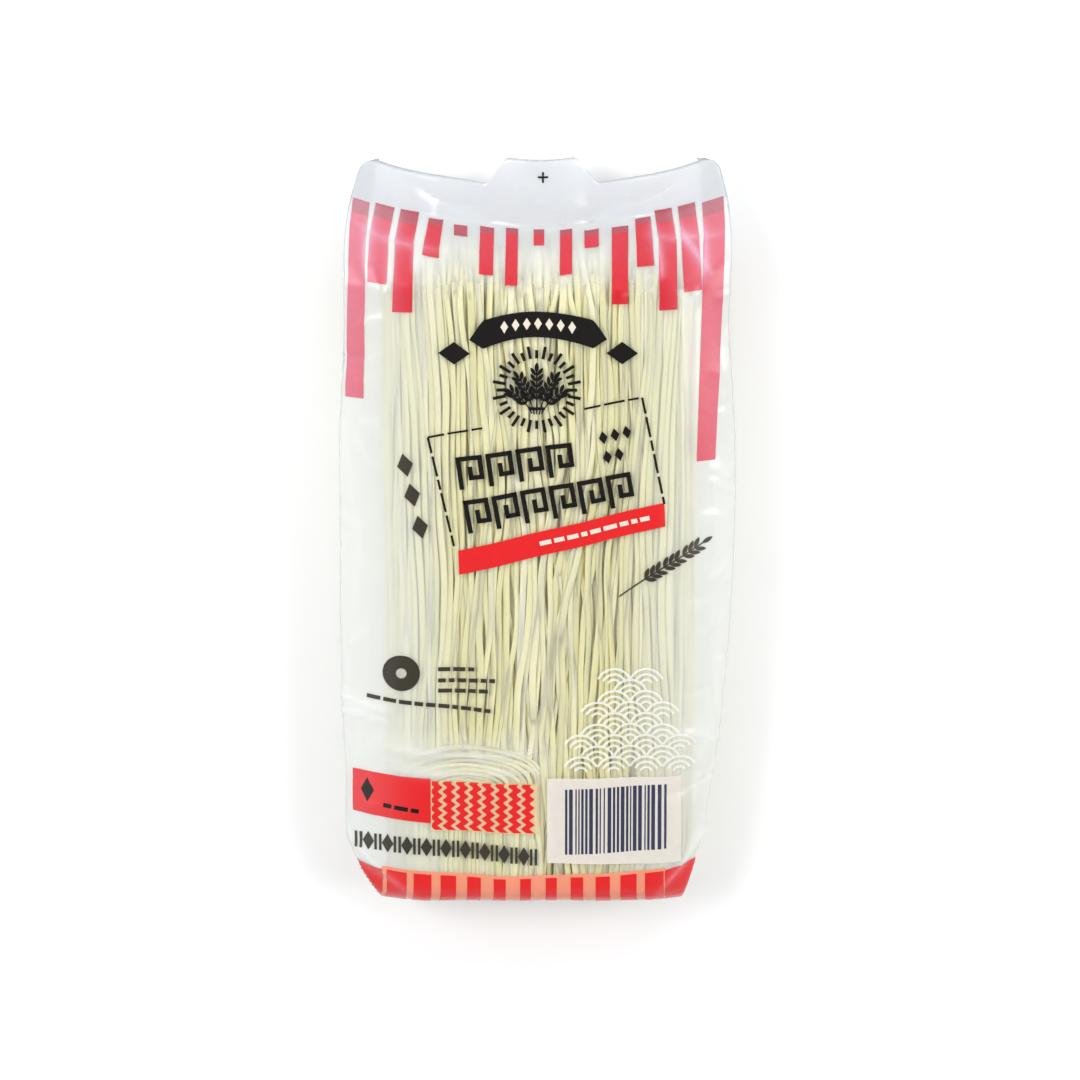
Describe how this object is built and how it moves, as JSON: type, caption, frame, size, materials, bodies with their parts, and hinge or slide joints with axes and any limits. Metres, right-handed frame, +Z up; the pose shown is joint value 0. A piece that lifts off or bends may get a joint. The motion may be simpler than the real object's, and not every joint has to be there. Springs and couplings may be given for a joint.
{
  "type": "bag of dried rice noodles",
  "caption": "Clear film bag of long dried rice noodles, lying on its back: pillow-shaped body with a pleat along each side, folded blunt foot, flat wavy header with a hang tab.",
  "frame": {"origin": "centre of the footprint, on the surface that the bag lies on", "axes": "+Y runs along the bag from its folded foot to the header with the hang tab, +X to the right as the printed front is read, +Z up, out of the printed front"},
  "size_m": [0.1483, 0.287, 0.041],
  "materials": {
    "film": "clear glossy film over pale noodles",
    "noodles": "dry, slightly translucent, satin",
    "red_print": "glossy ink on the outer face of the film",
    "black_print": "glossy ink on the outer face of the film",
    "white_print": "glossy ink on the outer face of the film"
  },
  "bodies": {
    "root": {"bag": "film"}
  },
  "joints": []
}
